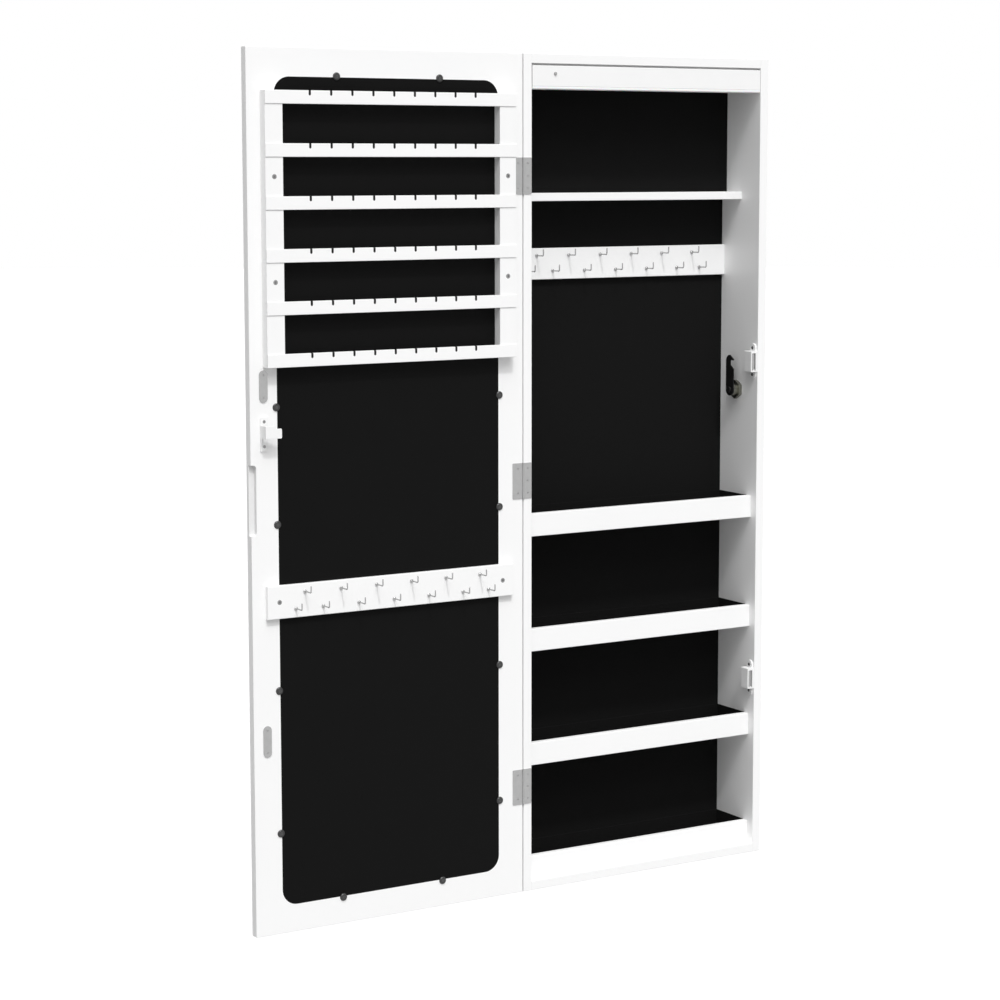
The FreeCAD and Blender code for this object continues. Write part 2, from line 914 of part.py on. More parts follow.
def lock_plug():
    """The turning core of the lock: keyway outside, square drive for the cam inside."""
    x0 = barrel_end_x()
    x1 = outer_x + lock_flange
    core = rod(plug_r, V(x0, lock_y, lock_height), RIGHT, x1 - x0)
    half = plug_drive / 2
    end = x0 - cam_gap - cam_thickness
    drive = block(end, x0, lock_y - half, lock_y + half, lock_height - half, lock_height + half)
    collar = rod(plug_r, V(x0 - cam_gap, lock_y, lock_height), RIGHT, cam_gap)
    keyway = block(x1 - keyway_depth, x1, lock_y - keyway_width / 2, lock_y + keyway_width / 2,
                   lock_height - keyway_length / 2, lock_height + keyway_length / 2)
    thread = rod(cam_screw_r, V(end, lock_y, lock_height), RIGHT, cam_screw_length)
    return core.fuse([drive, collar]).removeSplitter().cut(keyway).cut(thread)


def lock_cam():
    """A flat hooked cam.  It points up when unlocked, and its notch is open to the front."""
    x0 = barrel_end_x() - cam_gap - cam_thickness
    half = cam_half_width

    def at(forward, height):
        return V(x0, lock_y - forward, lock_height + height)

    shoulder = cam_reach - half
    slope = math.sqrt(0.5) * half
    inner = half - notch_depth
    edges = [
        Part.LineSegment(at(-half, 0), at(-half, shoulder)).toShape(),
        Part.Arc(at(-half, shoulder), at(-slope, shoulder + slope), at(0, cam_reach)).toShape(),
        Part.LineSegment(at(0, cam_reach), at(half, cam_reach - hook_point_drop)).toShape(),
        Part.LineSegment(at(half, cam_reach - hook_point_drop), at(half, notch_top)).toShape(),
        Part.LineSegment(at(half, notch_top), at(inner, notch_top)).toShape(),
        Part.LineSegment(at(inner, notch_top), at(inner, notch_bottom)).toShape(),
        Part.LineSegment(at(inner, notch_bottom), at(half, notch_bottom - notch_drop)).toShape(),
        Part.LineSegment(at(half, notch_bottom - notch_drop), at(half, 0)).toShape(),
        Part.Arc(at(half, 0), at(0, -half), at(-half, 0)).toShape(),
    ]
    cam = Part.Face(Part.Wire(edges)).extrude(RIGHT * cam_thickness)
    side = plug_drive / 2
    drive = block(x0, x0 + cam_thickness, lock_y - side, lock_y + side,
                  lock_height - side, lock_height + side)
    return cam.cut(drive)


def cam_screw():
    x0 = barrel_end_x() - cam_gap - cam_thickness
    head = rod(cam_screw_head_r, V(x0 - cam_screw_head, lock_y, lock_height), RIGHT, cam_screw_head)
    rim = [e for e in head.Edges if e.Closed and e.BoundBox.XMax < x0 - cam_screw_head + touch]
    head = head.makeFillet(cam_screw_head / 3, rim)
    shank = rod(cam_screw_r, V(x0, lock_y, lock_height), RIGHT, cam_screw_length)
    return head.fuse(shank).removeSplitter()


def lock_keeper():
    """A bent sheet bracket on the door: base, web, and a tab, narrower at its tip, for the cam."""
    x0 = door_left + keeper_from_edge
    sheet = keeper_sheet
    base = rounded_block(x0, x0 + keeper_width, front - sheet, front,
                         keeper_bottom, keeper_top, keeper_width / 5)
    tab_bottom = tab_top - tab_height
    tip = front - keeper_reach
    outline = [
        V(x0, front, tab_top),
        V(x0, tip, tab_top),
        V(x0, tip, tab_bottom),
        V(x0, front - sheet - keeper_web_foot, tab_bottom),
        V(x0, front - sheet, tab_bottom - keeper_web_drop),
        V(x0, front, tab_bottom - keeper_web_drop),
    ]
    web = prism(outline, RIGHT * sheet)
    tip_x = x0 + tab_length
    tab = block(x0, tip_x, tip, tip + sheet, tab_bottom, tab_top)
    tab = tab.cut(block(tip_x - tab_tip_length, tip_x, tip, tip + sheet,
                        tab_top - tab_tip_drop, tab_top))
    ends = [e for e in tab.Edges if abs(e.tangentAt(e.FirstParameter).y) > 0.5
            and e.CenterOfMass.x > tip_x - touch]
    tab = tab.makeFillet(sheet, ends)
    keeper = base.fuse([web, tab]).removeSplitter()
    return drill(keeper, small_screw, keeper_screw_places(), INWARD)


# ---- door ----


def door_window(inset, y0, y1):
    """A round-cornered block inside the door's borders, smaller by the inset on every side."""
    x = cabinet_width / 2 - door_side_border - inset
    low = door_border + inset
    high = cabinet_height - door_border - inset
    radius = mirror_corner_r - inset
    return rounded_block(door_x - x, door_x + x, y0, y1, low, high, radius)


def door_frame():
    frame = block(door_left, door_right, front, door_back, 0, cabinet_height)
    rebate = front + backing_thickness + glass_thickness
    frame = frame.cut(door_window(0, front, rebate))
    frame = frame.cut(door_window(mirror_lip, rebate, door_back))
    middle = cabinet_height / 2
    pull = rounded_block(door_left - pull_width, door_left + pull_width, front, front + pull_depth,
                         middle - pull_height / 2, middle + pull_height / 2, pull_corner_r)
    frame = frame.cut(pull)
    frame = drill(frame, small_screw, hinge_screw_places(-1), INWARD)
    frame = drill(frame, small_screw, keeper_screw_places(), INWARD)
    frame = drill(frame, strike_screw, strike_screw_places(), INWARD)
    frame = drill(frame, rack_screw, rack_screw_places(), INWARD)
    frame = drill(frame, board_screw, hook_board_screw_places(), INWARD)
    return drill(frame, clip_screw, clip_screw_seats(), INWARD)


def mirror_backing():
    return door_window(0, front, front + backing_thickness)


def mirror_glass():
    y0 = front + backing_thickness
    return door_window(0, y0, y0 + glass_thickness)


def clip_screw_seats():
    return [place + OUTWARD * clip_thickness for place in clip_places()]


def mirror_clips():
    clips = []
    for place in clip_places():
        clip = rod(clip_r, place, OUTWARD, clip_thickness)
        rim = [e for e in clip.Edges if e.Closed and e.BoundBox.YMax < front - clip_thickness + touch]
        clip = clip.makeChamfer(clip_thickness / 2, rim)
        clips.append(drill(clip, clip_screw, [place + OUTWARD * clip_thickness], INWARD))
    return Part.makeCompound(clips)


# ---- earring rack ----


def slat_top(number):
    return rack_top - number * slat_pitch


def rack_stile(side):
    """An upright of the rack, notched in front for the slats that lie across it."""
    x_outer = door_x + side * rack_width / 2
    x0, x1 = sorted((x_outer, x_outer - side * stile_width))
    stile = block(x0, x1, front - rack_thickness, front, rack_bottom, rack_top)
    seat = slat_front + slat_thickness
    for n in range(slat_count):
        top = slat_top(n)
        stile = stile.cut(block(x0, x1, slat_front, seat, top - slat_height, top))
    places = [p for p in rack_screw_places() if x0 < p.x < x1]
    return drill(stile, rack_screw, places, INWARD)


def rack_slat(number):
    """A slat with a row of narrow, round-bottomed notches in its top edge for earrings."""
    top = slat_top(number)
    x = rack_width / 2
    y1 = slat_front + slat_thickness
    slat = block(door_x - x, door_x + x, slat_front, y1, top - slat_height, top)
    bottom = top - earring_notch_depth + earring_notch_r
    for n in range(notch_count):
        notch_x = door_x + (n - (notch_count - 1) / 2) * notch_pitch
        slat = slat.cut(block(notch_x - earring_notch_r, notch_x + earring_notch_r,
                              slat_front, y1, bottom, top))
        slat = slat.cut(rod(earring_notch_r, V(notch_x, slat_front, bottom), INWARD, slat_thickness))
    return slat


def rack_slats():
    return Part.makeCompound([rack_slat(n) for n in range(slat_count)])


# ---- the assembly ----

NODES = {
    "side_panel_left": side_panel(-1),
    "side_panel_right": side_panel(1),
    "top_panel": end_panel(inner_top),
    "bottom_panel": end_panel(0),
    "carcass_dowels": dowels(),
    "back_panel": back_panel(),
    "back_felt": back_felt(),
    "hanging_rail": hanging_rail(),
    "rail_felt": rail_felt(),
    "hanger_plates": hanger_plates(),
    "hanger_screws": screws(hanger_screw, hanger_screw_places(), OUTWARD),
    "upper_shelf": upper_shelf(),
    "tray_boards": tray_boards(),
    "tray_lips": tray_lips(),
    "tray_liners": tray_liners(),
    "cabinet_hook_board": cabinet_hook_board(),
    "cabinet_hooks": hooks(cabinet_hook_places()),
    "light_spacer": light_spacer(),
    "light_bar": light_bar(),
    "light_diffuser": light_diffuser(),
    "light_screws": screws(light_screw, light_screw_places(), UP, True),
    "led_board": led_board(),
    "leds": leds(),
    "battery_box": battery_box(),
    "battery_cover": battery_cover(),
    "switch_body": switch_body(),
    "switch_plunger": switch_plunger(),
    "cabinet_hinge_leaves": hinge_leaves(1),
    "door_hinge_leaves": hinge_leaves(-1),
    "hinge_pins": hinge_pins(),
    "cabinet_hinge_screws": screws(small_screw, hinge_screw_places(1), INWARD),
    "door_hinge_screws": screws(small_screw, hinge_screw_places(-1), INWARD),
    "catch_housings": catch_housings(),
    "catch_magnets": catch_magnets(),
    "catch_pole_plates": pole_plates(),
    "catch_screws": screws(catch_screw, catch_screw_places(), RIGHT, True),
    "strike_plates": strike_plates(),
    "strike_screws": screws(strike_screw, strike_screw_places(), INWARD),
    "lock_barrel": lock_barrel(),
    "lock_nut": lock_nut_piece(),
    "lock_plug": lock_plug(),
    "lock_cam": lock_cam(),
    "cam_screw": cam_screw(),
    "lock_keeper": lock_keeper(),
    "keeper_screws": screws(small_screw, keeper_screw_places(), INWARD),
    "door_frame": door_frame(),
    "mirror_glass": mirror_glass(),
    "mirror_backing": mirror_backing(),
    "mirror_clips": mirror_clips(),
    "clip_screws": screws(clip_screw, clip_screw_seats(), INWARD),
    "rack_stile_left": rack_stile(-1),
    "rack_stile_right": rack_stile(1),
    "rack_slats": rack_slats(),
    "rack_screws": screws(rack_screw, rack_screw_places(), INWARD),
    "door_hook_board": door_hook_board(),
    "door_hooks": hooks(door_hook_places()),
    "hook_board_screws": screws(board_screw, hook_board_screw_places(), INWARD),
}

os.makedirs("parts", exist_ok=True)
for name, shape in NODES.items():
    placed = shape.translated(V(0, 0, -hanger_height))
    placed.exportStep("parts/" + name + ".step")
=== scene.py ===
"""Wall-hung jewellery cabinet with a mirror door: the finishes and the fine detail of every piece.

Metres, with X to the right across the front, Y into the wall and Z up.  The pieces come in the
order in which the cabinet is put together: carcass, back, trays, hooks, light, hinges, catches,
lock, door, rack.  The camera looks from the photograph's side at the door swung all the way open.
"""

import json
import math

import bmesh
import bpy
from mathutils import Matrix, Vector

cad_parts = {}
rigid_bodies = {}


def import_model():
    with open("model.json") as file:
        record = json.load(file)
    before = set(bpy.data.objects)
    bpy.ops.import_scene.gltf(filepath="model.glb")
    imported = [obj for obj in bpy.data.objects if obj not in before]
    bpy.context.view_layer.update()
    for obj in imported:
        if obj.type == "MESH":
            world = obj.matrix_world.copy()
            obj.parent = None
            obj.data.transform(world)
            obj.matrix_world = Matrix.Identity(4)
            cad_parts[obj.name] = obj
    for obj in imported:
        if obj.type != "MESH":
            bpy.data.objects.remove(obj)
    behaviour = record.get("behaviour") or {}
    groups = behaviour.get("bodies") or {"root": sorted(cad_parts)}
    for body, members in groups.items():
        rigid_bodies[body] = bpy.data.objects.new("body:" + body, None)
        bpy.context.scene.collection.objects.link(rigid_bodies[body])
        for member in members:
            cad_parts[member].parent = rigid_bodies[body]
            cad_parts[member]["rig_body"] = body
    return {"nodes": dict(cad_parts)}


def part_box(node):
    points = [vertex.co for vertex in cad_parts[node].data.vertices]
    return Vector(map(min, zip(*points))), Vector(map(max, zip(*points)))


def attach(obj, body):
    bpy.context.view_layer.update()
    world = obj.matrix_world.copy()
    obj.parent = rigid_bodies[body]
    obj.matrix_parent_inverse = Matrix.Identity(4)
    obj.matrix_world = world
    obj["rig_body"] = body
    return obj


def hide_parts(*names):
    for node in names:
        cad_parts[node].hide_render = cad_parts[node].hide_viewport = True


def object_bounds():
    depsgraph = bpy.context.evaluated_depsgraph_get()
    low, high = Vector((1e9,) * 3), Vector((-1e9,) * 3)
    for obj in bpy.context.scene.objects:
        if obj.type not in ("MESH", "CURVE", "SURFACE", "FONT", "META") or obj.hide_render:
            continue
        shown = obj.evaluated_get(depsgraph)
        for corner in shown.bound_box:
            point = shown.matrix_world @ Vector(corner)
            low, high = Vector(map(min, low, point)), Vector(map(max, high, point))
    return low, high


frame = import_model()
model_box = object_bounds()

# ---- carcass boards ----
# Two sides, a top and a bottom of 12 mm fibreboard, dowelled at the corners.  The arrises are
# eased with a sanding block and the boards are sprayed with a satin white lacquer, which dries
# with a very slight orange peel.

MM = 0.001
ARRIS = 0.6 * MM
ARRIS_STEPS = 2
SHORTEST_ARRIS = 7 * MM
LEVEL = math.radians(0.5)
CORNER = math.radians(40)
BOARD_CREASE = math.radians(14)
CROWDED = 40  # a face with more corners is cut into triangles before its edges are rounded
SQUARE = 0.99999  # a face squarer than this to an axis is shaded flat
WELD = 0.001 * MM
COLOUR_A, COLOUR_B, MIXED_COLOUR = 6, 7, 2  # the colour sockets of a Mix node


def add(tree, kind, sockets=None, **settings):
    """Adds a node to a tree; a socket takes a value, or the output that feeds it."""
    made = tree.nodes.new(kind)
    for key, value in settings.items():
        setattr(made, key, value)
    for key, value in (sockets or {}).items():
        if isinstance(value, bpy.types.NodeSocket):
            tree.links.new(value, made.inputs[key])
        else:
            made.inputs[key].default_value = value
    return made


def shader_group(name, inputs, outputs):
    """An empty shader node group with float inputs beside its Vector, and its two end nodes."""
    group = bpy.data.node_groups.new(name, "ShaderNodeTree")
    group.interface.new_socket("Vector", in_out="INPUT", socket_type="NodeSocketVector")
    for label in inputs:
        group.interface.new_socket(label, in_out="INPUT", socket_type="NodeSocketFloat")
    for label in outputs:
        group.interface.new_socket(label, in_out="OUTPUT", socket_type="NodeSocketFloat")
    return group, add(group, "NodeGroupInput"), add(group, "NodeGroupOutput")


def stretched(group, start, across=1.0, up=1.0):
    """The group's coordinates, with the pattern packed closer across Z or along it."""
    mapping = add(group, "ShaderNodeMapping", {"Vector": start.outputs["Vector"]})
    mapping.inputs["Scale"].default_value = (across, across, up)
    return mapping.outputs["Vector"]


def lacquer_group():
    """Soft clouding over a hand's width, and the ripple of sprayed lacquer."""
    group, start, end = shader_group("sprayed_lacquer", ["Cloud", "Ripple"], ["Shade", "Height"])
    cloud = add(group, "ShaderNodeTexNoise", {
        "Vector": start.outputs["Vector"], "Scale": start.outputs["Cloud"], "Detail": 3.0})
    ripple = add(group, "ShaderNodeTexNoise", {
        "Vector": start.outputs["Vector"], "Scale": start.outputs["Ripple"], "Detail": 1.0})
    group.links.new(cloud.outputs["Fac"], end.inputs["Shade"])
    group.links.new(ripple.outputs["Fac"], end.inputs["Height"])
    return group


def finish(name, grain, values, colours, roughness, depth, **fixed):
    """A material whose colour, roughness and relief all follow one grain group."""
    material = bpy.data.materials.new(name)
    material.use_nodes = True
    tree = material.node_tree
    skin = tree.nodes["Principled BSDF"]
    place = add(tree, "ShaderNodeTexCoord")
    marks = add(tree, "ShaderNodeGroup", node_tree=grain)
    tree.links.new(place.outputs["Object"], marks.inputs["Vector"])
    for key, value in values.items():
        marks.inputs[key].default_value = value
    dark, light = [tuple(c) + (1.0,) if isinstance(c, tuple) else (c, c, c, 1.0) for c in colours]
    tint = add(tree, "ShaderNodeMix", data_type="RGBA")
    tint.inputs[COLOUR_A].default_value = dark
    tint.inputs[COLOUR_B].default_value = light
    tree.links.new(marks.outputs["Shade"], tint.inputs["Factor"])
    tree.links.new(tint.outputs[MIXED_COLOUR], skin.inputs["Base Color"])
    gloss = add(tree, "ShaderNodeMapRange", {
        "Value": marks.outputs["Shade"], "To Min": roughness[0], "To Max": roughness[1]})
    tree.links.new(gloss.outputs["Result"], skin.inputs["Roughness"])
    relief = add(tree, "ShaderNodeBump", {
        "Strength": 1.0, "Distance": depth, "Height": marks.outputs["Height"]})
    tree.links.new(relief.outputs["Normal"], skin.inputs["Normal"])
    for key, value in fixed.items():
        skin.inputs[key.replace("_", " ")].default_value = value
    return material


def coat(material, *nodes):
    """Gives the material to nodes whose own shape stays in view."""
    for node in nodes:
        for slot in frame["nodes"][node].material_slots:
            slot.material = material


def dress(piece, material, slot, *nodes):
    """The piece stands for the nodes, moves with their body and takes the finish."""
    piece.data.materials.clear()
    piece.data.materials.append(material)
    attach(piece, frame["nodes"][nodes[0]]["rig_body"])
    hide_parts(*nodes)
    return piece


def finished_mesh(name, shape, crease=BOARD_CREASE):
    """Puts a worked mesh in the scene, smooth where neighbouring faces nearly line up."""
    data = bpy.data.meshes.new(name)
    shape.to_mesh(data)
    shape.free()
    data.polygons.foreach_set("use_smooth", [True] * len(data.polygons))
    data.set_sharp_from_angle(angle=crease)
    piece = bpy.data.objects.new(name, data)
    bpy.context.scene.collection.objects.link(piece)
    return piece


def welded(node):
    """A node's solids as a worked mesh, with its loose facets joined up."""
    shape = bmesh.new()
    shape.from_mesh(frame["nodes"][node].data)
    bmesh.ops.remove_doubles(shape, verts=shape.verts, dist=WELD)
    return shape


def eased(node, material, slot, arris=ARRIS, shortest=SHORTEST_ARRIS):
    """The node's solids again, with their long sharp edges rounded over."""
    shape = welded(node)
    bmesh.ops.dissolve_limit(shape, angle_limit=LEVEL, verts=shape.verts, edges=shape.edges)
    crowded = [face for face in shape.faces if len(face.verts) > CROWDED]
    bmesh.ops.triangulate(shape, faces=crowded)
    sharp = [
        edge for edge in shape.edges
        if len(edge.link_faces) == 2
        and edge.is_convex
        and edge.calc_length() > shortest
        and edge.calc_face_angle() > CORNER
    ]
    bmesh.ops.bevel(shape, geom=sharp, offset=arris, segments=ARRIS_STEPS, profile=0.5,
                    affect="EDGES", clamp_overlap=False)
    piece = finished_mesh(node + "_eased", shape)
    for face in piece.data.polygons:
        face.use_smooth = max(map(abs, face.normal)) < SQUARE
    return dress(piece, material, slot, node)


LACQUER = lacquer_group()
white_paint = finish(
    "satin_white_lacquer", LACQUER, {"Cloud": 9.0, "Ripple": 420.0},
    colours=(0.90, 0.925), roughness=(0.36, 0.46), depth=0.02 * MM)
for board in ("side_panel_left", "side_panel_right", "top_panel", "bottom_panel"):
    eased(board, white_paint, "white_board")

# Beech dowels, glued into the ends of the top and the bottom.
# Their grain runs along the peg; they don't show once the carcass is closed.


def wood_group():
    """Long fibres with paler and darker streaks."""
    group, start, end = shader_group("beech_fibres", ["Scale"], ["Shade", "Height"])
    streak = add(group, "ShaderNodeTexNoise", {
        "Vector": stretched(group, start, up=8.0), "Scale": start.outputs["Scale"],
        "Detail": 4.0})
    group.links.new(streak.outputs["Fac"], end.inputs["Shade"])
    group.links.new(streak.outputs["Fac"], end.inputs["Height"])
    return group


beech = finish(
    "planed_beech", wood_group(), {"Scale": 160.0},
    colours=((0.45, 0.28, 0.14), (0.62, 0.43, 0.24)), roughness=(0.5, 0.65), depth=0.03 * MM)
coat(beech, "carcass_dowels")

# ---- back panel and hanging rail ----
# A 3 mm hardboard back let into a rebate, white towards the wall with the print of the press
# screen, and a thicker board behind the upper compartment that carries the two wall hangers.


def maths(tree, operation, a, b):
    """The result of one sum on two numbers or outputs."""
    return add(tree, "ShaderNodeMath", {0: a, 1: b}, operation=operation).outputs["Value"]


def screen_group():
    """The crossed ridges that a press screen leaves on hardboard, with a little clouding."""
    group, start, end = shader_group("press_screen", ["Weave", "Cloud"], ["Shade", "Height"])
    cloud = add(group, "ShaderNodeTexNoise", {
        "Vector": start.outputs["Vector"], "Scale": start.outputs["Cloud"], "Detail": 4.0})
    heights = []
    for direction in ("X", "Z"):
        wave = add(group, "ShaderNodeTexWave", {
            "Vector": start.outputs["Vector"], "Scale": start.outputs["Weave"],
            "Distortion": 0.4, "Detail": 1.0}, bands_direction=direction)
        heights.append(wave.outputs["Fac"])
    crossed = maths(group, "MULTIPLY", *heights)
    group.links.new(cloud.outputs["Fac"], end.inputs["Shade"])
    group.links.new(crossed, end.inputs["Height"])
    return group


back_board = finish(
    "white_faced_hardboard", screen_group(), {"Weave": 90.0, "Cloud": 14.0},
    colours=(0.78, 0.86), roughness=(0.55, 0.7), depth=0.05 * MM)
coat(back_board, "back_panel", "hanging_rail")

# ---- wall hangers ----
# Two keyhole plates of zinc-plated sheet steel, let into the back.  Each is screwed to the rail at
# its upper and lower end, and hangs on the head of a screw in the wall.


def plated_group():
    """Drawn lines of rolled sheet under a cloudy zinc plating."""
    group, start, end = shader_group("plated_sheet", ["Scale", "Cloud"], ["Shade", "Height"])
    lines = add(group, "ShaderNodeTexNoise", {
        "Vector": stretched(group, start, across=12.0), "Scale": start.outputs["Scale"],
        "Detail": 3.0})
    cloud = add(group, "ShaderNodeTexNoise", {
        "Vector": start.outputs["Vector"], "Scale": start.outputs["Cloud"], "Detail": 5.0})
    both = add(group, "ShaderNodeMix", {
        "Factor": 0.55, "A": lines.outputs["Fac"], "B": cloud.outputs["Fac"]}, data_type="FLOAT")
    group.links.new(both.outputs["Result"], end.inputs["Shade"])
    group.links.new(lines.outputs["Fac"], end.inputs["Height"])
    return group


PLATED = plated_group()
plated_steel = finish(
    "zinc_plated_sheet", PLATED, {"Scale": 260.0, "Cloud": 180.0},
    colours=(0.345, 0.47), roughness=(0.34, 0.5), depth=0.015 * MM, Metallic=1.0)
coat(plated_steel, "hanger_plates")

# ---- screws ----
# Plated steel wood screws with cross recesses: countersunk ones that end flush, and raised ones
# that sit on the surface.  In each set, every screw is driven to another angle.

RECESS_REACH = 0.62  # shares of the head's radius, and of its height for the depth
RECESS_WIDTH = 0.26
RECESS_DEPTH = 0.75
HEAD_SIDES = 28
SHANK_SIDES = 12
POINT_SHARE = 0.25
TURNED_CREASE = math.radians(35)
RANDOM_LOW, RANDOM_HIGH, RANDOM_OUT = 2, 3, 1  # the float sockets of a Random Value node


def geometry_tree(name, **inputs):
    """A geometry node tree with named inputs; returns it with its two end nodes."""
    tree = bpy.data.node_groups.new(name, "GeometryNodeTree")
    tree.interface.new_socket("Geometry", in_out="INPUT", socket_type="NodeSocketGeometry")
    for label, kind in inputs.items():
        tree.interface.new_socket(
            label.replace("_", " "), in_out="INPUT", socket_type="NodeSocket" + kind)
    tree.interface.new_socket("Geometry", in_out="OUTPUT", socket_type="NodeSocketGeometry")
    return tree, add(tree, "NodeGroupInput"), add(tree, "NodeGroupOutput")


def along(tree, x=0.0, y=0.0, z=0.0):
    """A vector from three numbers or outputs."""
    return add(tree, "ShaderNodeCombineXYZ", {"X": x, "Y": y, "Z": z}).outputs["Vector"]


def moved(tree, geometry, translation, scale=(1.0, 1.0, 1.0)):
    """The geometry, scaled and then shifted."""
    return add(tree, "GeometryNodeTransform", {
        "Geometry": geometry, "Translation": translation, "Scale": scale}).outputs["Geometry"]


def joined(tree, *parts):
    """Several geometries as one."""
    join = add(tree, "GeometryNodeJoinGeometry")
    for part in parts:
        tree.links.new(part, join.inputs["Geometry"])
    return join.outputs["Geometry"]


def close_tree(tree, start, end, copies):
    """Makes the copies real, gives them the finish and ends the tree."""
    real = add(tree, "GeometryNodeRealizeInstances", {"Geometry": copies})
    painted = add(tree, "GeometryNodeSetMaterial", {
        "Geometry": real.outputs["Geometry"], "Material": start.outputs["Finish"]})
    tree.links.new(painted.outputs["Geometry"], end.inputs["Geometry"])
    return tree


def screw_tree():
    """Screws at the points: a turned head with a cross cut into it, on a pointed shank."""
    tree, start, end = geometry_tree(
        "cross_recess_screws", Head_radius="Float", Shank_radius="Float", Head_height="Float",
        Length="Float", Raised="Bool", Direction="Vector", Seed="Int", Finish="Material")
    head_r, shank_r = start.outputs["Head radius"], start.outputs["Shank radius"]
    head_h, length = start.outputs["Head height"], start.outputs["Length"]
    down = maths(tree, "MULTIPLY", head_h, -1.0)
    cone = add(tree, "GeometryNodeMeshCone", {
        "Vertices": HEAD_SIDES, "Radius Top": head_r, "Radius Bottom": shank_r,
        "Depth": head_h})
    sunk = moved(tree, cone.outputs["Mesh"], along(tree, z=down))
    ball = add(tree, "GeometryNodeMeshUVSphere", {
        "Segments": HEAD_SIDES, "Rings": HEAD_SIDES // 2, "Radius": 1.0})
    dome = moved(tree, ball.outputs["Mesh"], (0.0, 0.0, 0.0), along(tree, head_r, head_r, head_h))
    head = add(tree, "GeometryNodeSwitch", {
        "Switch": start.outputs["Raised"], "False": sunk, "True": dome}, input_type="GEOMETRY")
    top = maths(tree, "MULTIPLY", head_h, start.outputs["Raised"])
    reach = maths(tree, "MULTIPLY", head_r, 2 * RECESS_REACH)
    width = maths(tree, "MULTIPLY", head_r, RECESS_WIDTH)
    depth = maths(tree, "MULTIPLY", head_h, 2 * RECESS_DEPTH)
    arms = [
        add(tree, "GeometryNodeMeshCube", {"Size": along(tree, *size)}).outputs["Mesh"]
        for size in ((reach, width, depth), (width, reach, depth))
    ]
    cutters = [moved(tree, arm, along(tree, z=top)) for arm in arms]
    cut = head.outputs["Output"]
    for cutter in cutters:
        cut = add(tree, "GeometryNodeMeshBoolean", {"Mesh 1": cut, "Mesh 2": cutter},
                  operation="DIFFERENCE", solver="EXACT").outputs["Mesh"]
    shank = add(tree, "GeometryNodeMeshCone", {
        "Vertices": SHANK_SIDES, "Radius Top": shank_r,
        "Radius Bottom": maths(tree, "MULTIPLY", shank_r, POINT_SHARE),
        "Depth": maths(tree, "SUBTRACT", length, head_h)})
    tip = maths(tree, "MULTIPLY", length, -1.0)
    shank = moved(tree, shank.outputs["Mesh"], along(tree, z=tip))
    turn = add(tree, "FunctionNodeRandomValue", {
        RANDOM_LOW: 0.0, RANDOM_HIGH: math.pi / 2, "Seed": start.outputs["Seed"]},
        data_type="FLOAT")
    spin = add(tree, "FunctionNodeAxisAngleToRotation", {
        "Axis": (0.0, 0.0, 1.0), "Angle": turn.outputs[RANDOM_OUT]})
    lean = add(tree, "FunctionNodeAlignRotationToVector", {
        "Vector": start.outputs["Direction"]}, axis="Z")
    both = add(tree, "FunctionNodeRotateRotation", {
        "Rotation": lean.outputs["Rotation"], "Rotate By": spin.outputs["Rotation"]},
        rotation_space="LOCAL")
    copies = add(tree, "GeometryNodeInstanceOnPoints", {
        "Points": start.outputs["Geometry"], "Instance": joined(tree, cut, shank),
        "Rotation": both.outputs["Rotation"]})
    return close_tree(tree, start, end, copies.outputs["Instances"])


def grown(name, tree, points, **values):
    """Runs a geometry tree on the points and keeps the result as a plain mesh."""
    seed = bpy.data.meshes.new(name + "_points")
    seed.from_pydata([tuple(p) for p in points], [], [])
    carrier = bpy.data.objects.new(name + "_points", seed)
    bpy.context.scene.collection.objects.link(carrier)
    modifier = carrier.modifiers.new("tree", "NODES")
    modifier.node_group = tree
    sockets = {
        item.name: item.identifier for item in tree.interface.items_tree
        if item.in_out == "INPUT" and item.socket_type != "NodeSocketGeometry"
    }
    for key, value in values.items():
        modifier[sockets[key.replace("_", " ")]] = value
    ready = carrier.evaluated_get(bpy.context.evaluated_depsgraph_get())
    data = bpy.data.meshes.new_from_object(ready)
    carrier.modifiers.remove(modifier)
    bpy.data.objects.remove(carrier)
    bpy.data.meshes.remove(seed)
    shape = bmesh.new()
    shape.from_mesh(data)
    bpy.data.meshes.remove(data)
    bmesh.ops.remove_doubles(shape, verts=shape.verts, dist=WELD)
    return finished_mesh(name, shape, TURNED_CREASE)


def separate_solids(node):
    """Lowest and highest corner of each separate solid of a node."""
    shape = welded(node)
    boxes = []
    seen = set()
    for first in shape.verts:
        if first in seen:
            continue
        seen.add(first)
        waiting = [first]
        low, high = first.co.copy(), first.co.copy()
        while waiting:
            vert = waiting.pop()
            low = Vector(map(min, low, vert.co))
            high = Vector(map(max, high, vert.co))
            for edge in vert.link_edges:
                other = edge.other_vert(vert)
                if other not in seen:
                    seen.add(other)
                    waiting.append(other)
        boxes.append((low, high))
    shape.free()
    return boxes


def screw_set(node, outward, head_height, shank_radius, raised=False, metal=None):
    """Detailed screws in the places, and of the size, of a node's plain ones."""
    metal = metal or screw_steel
    axis = [abs(v) for v in outward].index(1)
    boxes = separate_solids(node)
    seats = []
    for low, high in boxes:
        seat = (low + high) / 2
        seat[axis] = high[axis] if outward[axis] > 0 else low[axis]
        if raised:
            seat[axis] -= outward[axis] * head_height
        seats.append(seat)
    across = (axis + 1) % 3
    size = boxes[-1][1] - boxes[-1][0]
    head_radius = size[across] / 2
    length = size[axis] - (head_height if raised else 0.0)
    piece = grown(
        node + "_driven", SCREWS, seats, Head_radius=head_radius, Shank_radius=shank_radius,
        Head_height=head_height, Length=length, Raised=raised, Direction=outward,
        Seed=len(node), Finish=metal)
    return dress(piece, metal, "screw_steel", node)


